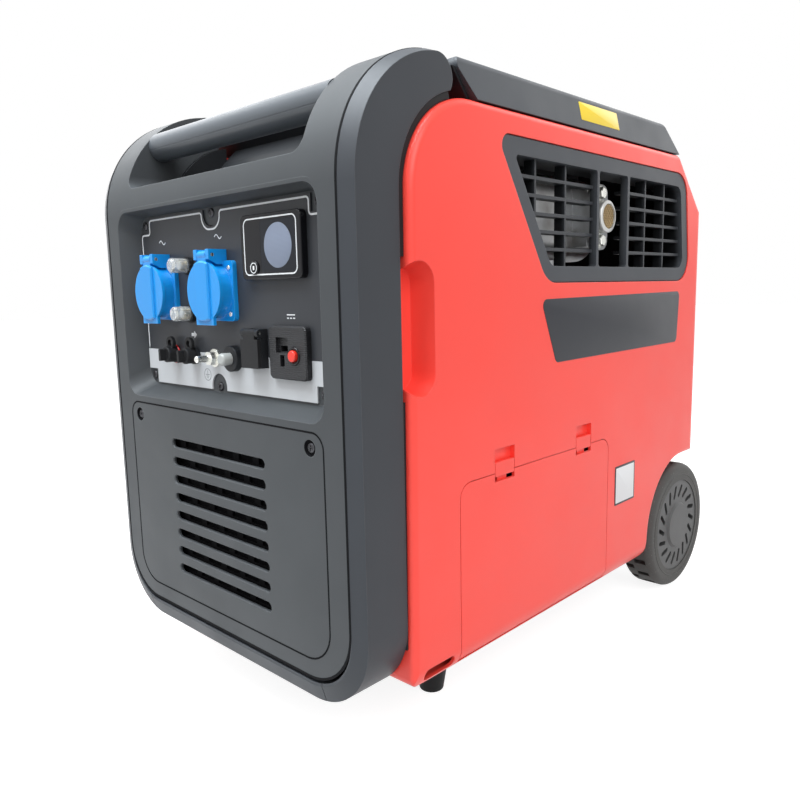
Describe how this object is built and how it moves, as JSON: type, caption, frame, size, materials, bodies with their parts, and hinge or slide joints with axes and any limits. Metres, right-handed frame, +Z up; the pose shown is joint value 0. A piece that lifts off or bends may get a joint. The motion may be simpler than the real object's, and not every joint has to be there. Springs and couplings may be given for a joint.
{
  "type": "portable generator",
  "caption": "Enclosed wheeled inverter generator with a front control panel, top carrying handle, side service door, louvred exhaust and recoil starter.",
  "frame": {"origin": "middle of the overall box at floor level", "axes": "+Z up, -Y towards the control panel, +X towards the service door side"},
  "size_m": [0.3738, 0.602, 0.5411],
  "materials": {
    "red_plastic": "semi-gloss moulded",
    "frame_grey": "fine grained",
    "fascia_grey": "fine grained",
    "black_plastic": "matte moulded",
    "grip_rubber": "soft black",
    "tyre_rubber": "lugged black",
    "wheel_plastic": "satin black",
    "panel_plate": "printed",
    "socket_blue": "glossy",
    "clear_boot": "clear soft",
    "button_white": "glossy",
    "button_red": "glossy",
    "button_grey": "satin",
    "lens_clear": "tinted",
    "zinc_steel": "zinc plated",
    "tank_plastic": "blow moulded",
    "cap_plastic": "satin black",
    "tray_steel": "powder coated black",
    "engine_alloy": "cast",
    "rotor_steel": "machined",
    "muffler_steel": "heat dulled"
  },
  "bodies": {
    "case": {"right_side_panel": "red_plastic", "left_side_panel": "red_plastic", "front_frame_right": "frame_grey", "front_frame_left": "frame_grey", "front_lower_bar": "frame_grey", "front_fascia": "fascia_grey", "intake_cover": "fascia_grey", "intake_screen": "black_plastic", "control_plate": "panel_plate", "sockets": "socket_blue", "breakers": "black_plastic", "breaker_boots": "clear_boot", "parallel_jacks": "black_plastic", "earth_terminal": "zinc_steel", "eco_switch": "black_plastic", "usb_port": "black_plastic", "dc_outlet": "black_plastic", "display_bezel": "black_plastic", "display_lens": "lens_clear", "hinge_pins": "zinc_steel", "front_screws": "zinc_steel", "handle_grip": "grip_rubber", "handle_tube": "zinc_steel", "handle_well": "black_plastic", "top_cover": "frame_grey", "fuel_tank": "tank_plastic", "rear_panel": "black_plastic", "louvre_frame": "black_plastic", "base_tray": "tray_steel", "front_feet": "grip_rubber", "axle": "zinc_steel", "engine_block": "engine_alloy", "engine_mounts": "grip_rubber", "generator_housing": "engine_alloy", "muffler": "muffler_steel", "inverter": "engine_alloy", "air_cleaner": "black_plastic"},
    "right_wheel_body": {"tyre_right": "tyre_rubber", "wheel_right": "wheel_plastic"},
    "left_wheel_body": {"tyre_left": "tyre_rubber", "wheel_left": "wheel_plastic"},
    "service_door_body": {"maintenance_door": "red_plastic"},
    "front_latch_body": {"door_latch_front": "red_plastic"},
    "rear_latch_body": {"door_latch_rear": "red_plastic"},
    "left_lid_body": {"socket_lid_left": "socket_blue"},
    "right_lid_body": {"socket_lid_right": "socket_blue"},
    "usb_flap_body": {"usb_flap": "grip_rubber"},
    "lower_breaker_button_body": {"breaker_button_lower": "button_white"},
    "upper_breaker_button_body": {"breaker_button_upper": "button_white"},
    "left_jack_cap_body": {"jack_cap_left": "grip_rubber"},
    "right_jack_cap_body": {"jack_cap_right": "grip_rubber"},
    "economy_button_body": {"eco_button": "button_grey"},
    "dc_button_body": {"dc_reset_button": "button_red"},
    "display_button_body": {"display_button": "button_grey"},
    "fuel_cap_body": {"fuel_cap": "cap_plastic"},
    "engine_knob_body": {"engine_knob": "black_plastic"},
    "starter_grip_body": {"starter_grip": "black_plastic"},
    "starter_pulley_body": {"starter_pulley": "rotor_steel"},
    "flywheel_body": {"flywheel": "rotor_steel"},
    "oil_cap_body": {"oil_filler_cap": "black_plastic"}
  },
  "joints": [
    {"name": "right_wheel_spin", "type": "hinge", "parent": "case", "child": "right_wheel_body", "pos_m": [0.166, 0.2255, 0.0755], "axis": [1, 0, 0], "continuous": true},
    {"name": "left_wheel_spin", "type": "hinge", "parent": "case", "child": "left_wheel_body", "pos_m": [-0.166, 0.2255, 0.0755], "axis": [1, 0, 0], "continuous": true},
    {"name": "service_door_swing", "type": "hinge", "parent": "case", "child": "service_door_body", "pos_m": [0.17943, -0.073, 0.0665], "axis": [0, 1, 0], "range_deg": [0, 90]},
    {"name": "front_latch_slide", "type": "slide", "parent": "service_door_body", "child": "front_latch_body", "axis": [0, 0, -1], "range_m": [0, 0.004], "stiffness_N_per_m": 400, "springref_m": -0.002},
    {"name": "rear_latch_slide", "type": "slide", "parent": "service_door_body", "child": "rear_latch_body", "axis": [0, 0, -1], "range_m": [0, 0.004], "stiffness_N_per_m": 400, "springref_m": -0.002},
    {"name": "left_lid_swing", "type": "hinge", "parent": "case", "child": "left_lid_body", "pos_m": [-0.095, -0.2948, 0.3984], "axis": [-1, 0, 0], "range_deg": [0, 110], "stiffness_Nm_per_rad": 0.03, "springref_deg": -17.19},
    {"name": "right_lid_swing", "type": "hinge", "parent": "case", "child": "right_lid_body", "pos_m": [-0.003, -0.2948, 0.3984], "axis": [-1, 0, 0], "range_deg": [0, 110], "stiffness_Nm_per_rad": 0.03, "springref_deg": -17.19},
    {"name": "usb_flap_swing", "type": "hinge", "parent": "case", "child": "usb_flap_body", "pos_m": [0.0485, -0.2883, 0.3346], "axis": [-1, 0, 0], "range_deg": [0, 100]},
    {"name": "lower_breaker_slide", "type": "slide", "parent": "case", "child": "lower_breaker_button_body", "axis": [0, -1, 0], "range_m": [0, 0.003]},
    {"name": "upper_breaker_slide", "type": "slide", "parent": "case", "child": "upper_breaker_button_body", "axis": [0, -1, 0], "range_m": [0, 0.003]},
    {"name": "left_jack_cap_slide", "type": "slide", "parent": "case", "child": "left_jack_cap_body", "axis": [0, -1, 0], "range_m": [0, 0.012]},
    {"name": "right_jack_cap_slide", "type": "slide", "parent": "case", "child": "right_jack_cap_body", "axis": [0, -1, 0], "range_m": [0, 0.012]},
    {"name": "economy_button_slide", "type": "slide", "parent": "case", "child": "economy_button_body", "axis": [0, 1, 0], "range_m": [0, 0.002], "stiffness_N_per_m": 600, "springref_m": -0.001},
    {"name": "dc_button_slide", "type": "slide", "parent": "case", "child": "dc_button_body", "axis": [0, -1, 0], "range_m": [0, 0.003]},
    {"name": "display_button_slide", "type": "slide", "parent": "case", "child": "display_button_body", "axis": [0, 1, 0], "range_m": [0, 0.001], "stiffness_N_per_m": 400, "springref_m": -0.001},
    {"name": "fuel_cap_turn", "type": "hinge", "parent": "case", "child": "fuel_cap_body", "pos_m": [0, 0.002, 0.525], "axis": [0, 0, 1], "range_deg": [0, 90]},
    {"name": "engine_knob_turn", "type": "hinge", "parent": "case", "child": "engine_knob_body", "pos_m": [-0.171, -0.088, 0.347], "axis": [-1, 0, 0], "range_deg": [0, 135]},
    {"name": "starter_pull", "type": "slide", "parent": "case", "child": "starter_grip_body", "axis": [-1, 0, 0], "range_m": [0, 0.08], "stiffness_N_per_m": 80, "springref_m": -0.1},
    {"name": "starter_spin", "type": "hinge", "parent": "case", "child": "starter_pulley_body", "pos_m": [-0.01, -0.136, 0.185], "axis": [0, -1, 0], "range_deg": [0, 120]},
    {"name": "flywheel_spin", "type": "hinge", "parent": "case", "child": "flywheel_body", "pos_m": [-0.01, -0.08, 0.185], "axis": [0, 1, 0], "continuous": true},
    {"name": "oil_cap_turn", "type": "hinge", "parent": "case", "child": "oil_cap_body", "pos_m": [0.077, 0.002, 0.105], "axis": [1, 0, 0], "range_deg": [0, 90]}
  ],
  "couplings": [
    {"joint": "starter_spin", "follows": "starter_pull", "rad_per_m": 25.575}
  ]
}
